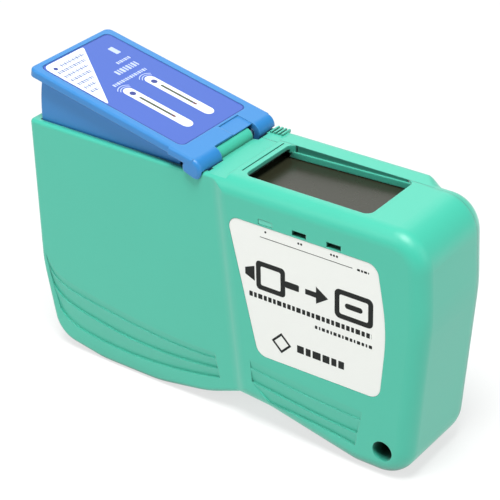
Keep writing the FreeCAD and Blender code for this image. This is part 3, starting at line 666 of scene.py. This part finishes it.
frontLabel = {
    "face": -16.93, "ink": 0.03,
    "indexLine": (14.7, 43.6, 61.45, 0.18), "lineRound": (0.05, 2),
    "indexMarks": (16.5, 27.4, 38.0), "indexHigh": 63.3, "dotStep": 0.9, "dot": (0.32, 16),
    "plug": (13.2, 22.6, 45.2, 54.0), "plugRound": (1.2, 0.5), "line": 1.5,
    "ferrule": (4.4, 1.0, 0.3),  # length, half height, rounding
    "boot": (3.6, 1.0, 0.5, 2.3),  # far end and its half height, near end and its half height
    "arrow": (29.0, 32.4, 36.2, 0.8, 2.6),  # tail, neck, tip, half heights of shaft and head
    "tape": (38.2, 50.0), "tapeRound": (1.6, 0.6), "tapeSlot": (41.4, 46.8, 0.8),
    "badge": (21.1, 30.6, 3.2), "badgeHole": 0.72,
    # rows of dashes: ends, low and high edge, lengths, gap
    "ruleNote": (45.0, 48.6, 61.2, 61.8, (0.9, 0.6), 0.3),
    "smallRow": (10.8, 49.6, 42.2, 43.7, (1.1, 0.9, 1.4, 1.0), 0.45),
    "tinyRow": (32.0, 50.0, 39.2, 40.2, (0.8, 0.5, 1.0), 0.45),
    "badgeRow": (26.2, 41.2, 29.6, 31.9, (2.2, 1.6, 2.6), 0.6),
}


def labelPlace(look):
    # outline (x, z) on the front face, facing the viewer
    return Matrix(((1, 0, 0, 0), (0, 0, -1, look["face"] * mm), (0, 1, 0, 0), (0, 0, 0, 1)))


def makeFrontLabel(look):
    place = labelPlace(look)

    def ink(name, outlines, holes=()):
        printShape(name, outlines, place, look["ink"], darkInk, "case", holes)

    x0, x1, z, t = look["indexLine"]
    ink("labelRule", [roundedBar(x0, x1, z - t / 2, z + t / 2, *look["lineRound"])])
    for k, x in enumerate(look["indexMarks"]):
        dots = [circle(x + (j - k / 2) * look["dotStep"], look["indexHigh"], *look["dot"]) for j in range(k + 1)]
        ink("indexMark%d" % (k + 1), dots)
    ink("ruleNote", dashRow(*look["ruleNote"]))
    # connector, arrow and tape strip
    x0, x1, z0, z1 = look["plug"]
    w = look["line"]
    outerRound, innerRound = look["plugRound"]
    ink("signPlug", [roundedBar(x0, x1, z0, z1, outerRound)],
        [roundedBar(x0 + w, x1 - w, z0 + w, z1 - w, innerRound)])
    middle = (z0 + z1) / 2
    length, half, radius = look["ferrule"]
    ink("signFerrule", [roundedBar(x1, x1 + length, middle - half, middle + half, radius)])
    far, farHalf, near, nearHalf = look["boot"]
    ink("signBoot", [[(x0 - far, middle - farHalf), (x0 - near, middle - nearHalf),
                      (x0 - near, middle + nearHalf), (x0 - far, middle + farHalf)]])
    tail, neck, tip, shaft, head = look["arrow"]
    ink("signArrow", [[(tail, middle - shaft), (neck, middle - shaft), (neck, middle - head), (tip, middle),
                       (neck, middle + head), (neck, middle + shaft), (tail, middle + shaft)]])
    x0, x1 = look["tape"]
    outerRound, innerRound = look["tapeRound"]
    ink("signTape", [roundedBar(x0, x1, z0, z1, outerRound)],
        [roundedBar(x0 + w, x1 - w, z0 + w, z1 - w, innerRound)])
    x0, x1, half = look["tapeSlot"]
    ink("signTapeSlot", [roundedBar(x0, x1, middle - half, middle + half, half)])
    ink("smallRow", dashRow(*look["smallRow"]))
    ink("tinyRow", dashRow(*look["tinyRow"]))
    x, z, r = look["badge"]
    diamond = [(x + r, z), (x, z + r), (x - r, z), (x, z - r)]
    hole = look["badgeHole"]
    ink("badgeDiamond", [diamond], [[(x + (a - x) * hole, z + (b - z) * hole) for a, b in diamond]])
    ink("badgeRow", dashRow(*look["badgeRow"]))


makeFrontLabel(frontLabel)
print("front label printed")

leverPanel = {
    "hinge": (-7.7, 74.5), "tilt": 12.0, "face": 3.12, "ink": 0.03, "under": 0.8, "over": 1.4,
    "slots": (5.5, -3.9), "slotSpan": (10.2, 34.0), "slotHalf": 1.8,
    "dotAt": 31.0, "dotHole": (0.95, 20), "dot": (0.93, 20),
    "slitSpan": (15.8, 28.6), "slitHole": (0.4, 3), "slitHalf": 0.38, "slitRound": (0.25, 3), "slitTip": (1.4, 1.5),
    "ripples": {"count": 2, "gap": 0.5, "step": 0.8, "width": 0.26, "degrees": 58, "lessEach": 8},
    "film": (5.8, 56.3, -13.7, 15.1), "filmRound": 1.9, "border": 0.3,
    "corner": ((31.6, -13.2, 0.5), (55.8, -13.2, 2.4), (55.8, 4.0, 0.7)),
    "flagRows": (  # u and start y of each line of print
        (39.0, -12.0), (41.4, -12.0), (43.8, -12.0), (46.2, -12.0), (48.6, -12.0), (51.0, -12.0), (53.2, -8.6)),
    "flagRowHalf": 0.6, "flagRowShort": 1.3, "flagRowStep": 0.9, "flagDot": (53.0, -10.9, 0.7, 16),
    "rows": (  # u from and to, y from and to, step
        (47.0, 50.6, 8.4, 11.2, 3.0), (43.2, 44.4, 4.6, 10.4, 0.9), (39.4, 41.6, 0.4, 9.4, 1.3),
        (36.2, 37.4, -5.2, 8.8, 1.0)),
}


def panelPlace(look):
    # outline (u, y): u runs from the hinge along the lever, y across it
    a = math.radians(look["tilt"])
    along = Vector((-math.cos(a), 0, math.sin(a)))
    up = Vector((math.sin(a), 0, math.cos(a)))
    origin = Vector((look["hinge"][0], 0, look["hinge"][1])) * mm + up * look["face"] * mm
    place = Matrix((along, Vector((0, 1, 0)), along.cross(Vector((0, 1, 0))))).transposed().to_4x4()
    place.translation = origin
    return place


wordStrokes = {"shares": (0.62, 0.4, 0.74, 0.5, 0.66, 0.34), "gap": 0.36, "least": 0.2}


def lineOfWords(ua, ub, ya, yb, step):
    # short strokes of changing width that read as small print from afar
    shares = wordStrokes["shares"]
    strokes, y, k = [], ya, 0
    while y < yb - wordStrokes["least"]:
        wide = step * shares[k % len(shares)]
        strokes.append(roundedBar(ua, ub, y, min(y + wide, yb), **strokeRound))
        y += wide + step * wordStrokes["gap"]
        k += 1
    return strokes


def makeLeverPanel(look):
    place = panelPlace(look)
    under, over = look["under"], look["over"]

    def ink(name, outlines, material, share=1.0, holes=()):
        printShape(name, outlines, place, look["ink"] * share, material, "lever", holes)

    u0, u1 = look["slotSpan"]
    s0, s1 = look["slitSpan"]
    half, slit = look["slotHalf"], look["slitHalf"]
    slitHole, slitHoleSteps = look["slitHole"]
    tipEnd, slitStart = look["slitTip"]
    ripples = look["ripples"]
    for tag, y in zip(("far", "near"), look["slots"]):
        holes = [circle(look["dotAt"], y, *look["dotHole"]),
                 roundedBar(s0, s1, y - slitHole, y + slitHole, slitHole, slitHoleSteps)]
        ink(tag + "Capsule", [roundedBar(u0, u1, y - half, y + half, half, 8)], whiteInk, holes=holes)
        ink(tag + "Dot", [circle(look["dotAt"], y, *look["dot"])], blueInk, under)
        ink(tag + "Slit", [roundedBar(s0 + slitStart, s1, y - slit, y + slit, *look["slitRound"])], oliveInk, under)
        ink(tag + "SlitTip", [roundedBar(s0, s0 + tipEnd, y - slit, y + slit, *look["slitRound"])], rustInk, under)
        arcs = []
        for j in range(ripples["count"]):
            degrees = ripples["degrees"] - ripples["lessEach"] * j
            radius = half + ripples["gap"] + ripples["step"] * j
            arcs.append(arcBand(u1 - half, y, radius, ripples["width"], -degrees, degrees))
        ink(tag + "Ripples", arcs, paleInk)
    f0, f1, g0, g1 = look["film"]
    edge, radius = look["border"], look["filmRound"]
    ink("panelBorder", [roundedBar(f0, f1, g0, g1, radius)], deepBlueInk,
        holes=[roundedBar(f0 + edge, f1 - edge, g0 + edge, g1 - edge, radius - edge)])
    ink("cornerFlag", [roundedOutline(look["corner"])], whiteInk)
    # short lines of print inside the flag, each as long as its slanted side lets it be
    (ua, ya, _), _, (uc, yc, _) = look["corner"]
    thin = look["flagRowHalf"]
    for k, (u, start) in enumerate(look["flagRows"]):
        stop = ya + (u - ua) * (yc - ya) / (uc - ua) - look["flagRowShort"]
        ink("flagRow%d" % (k + 1), lineOfWords(u - thin, u + thin, start, stop, look["flagRowStep"]), greyInk, over)
    ink("flagDot", [circle(*look["flagDot"])], blueInk, over)
    for k, row in enumerate(look["rows"]):
        ink("panelRow%d" % (k + 1), lineOfWords(*row), paleInk)


makeLeverPanel(leverPanel)
print("lever panel printed")


# floor and light
studio = {
    "floor": (0.55, 0.55, 0.55), "floorGlow": 0.70, "floorSize": 6.0, "floorDrop": 0.0002,
    "floorPatch": (3.0, 2.0), "floorDarker": 0.985, "floorRoughness": 0.9, "floorSpecular": 0.1, "world": 0.13,
    "key": {"place": (-0.45, -0.76, 0.64), "size": 0.6, "power": 2.3, "aim": (0.0, 0.0, 0.03)},
    "top": {"place": (0.12, -0.27, 1.05), "size": 0.42, "power": 12.7, "aim": (0.0, 0.0, 0.05)},
    "fill": {"place": (0.9, 0.1, 0.45), "size": 0.8, "power": 2.3, "aim": (0.0, 0.0, 0.04)},
    "back": {"place": (-0.55, 0.80, 0.62), "size": 1.1, "power": 4.2, "aim": (0.0, 0.0, 0.06)},
}


def makeLight(name, look):
    data = bpy.data.lights.new(name, "AREA")
    data.shape = "DISK"
    data.size = look["size"]
    data.energy = look["power"]
    lamp = bpy.data.objects.new(name, data)
    lamp.location = look["place"]
    toAim = Vector(look["aim"]) - Vector(look["place"])
    lamp.rotation_euler = toAim.to_track_quat("-Z", "Y").to_euler()
    bpy.context.scene.collection.objects.link(lamp)


def makeStudio(look):
    material, tree, shader = startMaterial("paleFloor")
    tone = linear(look["floor"])
    darker = tuple(c * look["floorDarker"] for c in tone[:3]) + (1.0,)
    patch = objectNoise(tree, *look["floorPatch"])
    tree.links.new(blendColour(tree, patch, tone, darker), shader.inputs["Base Color"])
    shader.inputs["Roughness"].default_value = look["floorRoughness"]
    shader.inputs["Specular IOR Level"].default_value = look["floorSpecular"]
    shader.inputs["Emission Color"].default_value = (1, 1, 1, 1)
    shader.inputs["Emission Strength"].default_value = look["floorGlow"]
    build = bmesh.new()
    bmesh.ops.create_grid(build, x_segments=1, y_segments=1, size=look["floorSize"])
    floor = addPiece("paleFloor", meshFrom(build, "paleFloor"), material)
    floor.location.z = -look["floorDrop"]
    world = bpy.data.worlds.new("studioWorld")
    world.use_nodes = True
    background = world.node_tree.nodes["Background"]
    background.inputs["Color"].default_value = (1, 1, 1, 1)
    background.inputs["Strength"].default_value = look["world"]
    bpy.context.scene.world = world
    bpy.context.scene.view_settings.view_transform = "Standard"  # colours come out as they are mixed
    for name in ("key", "top", "fill", "back"):
        makeLight(name + "Light", look[name])


makeStudio(studio)
print("studio ready")
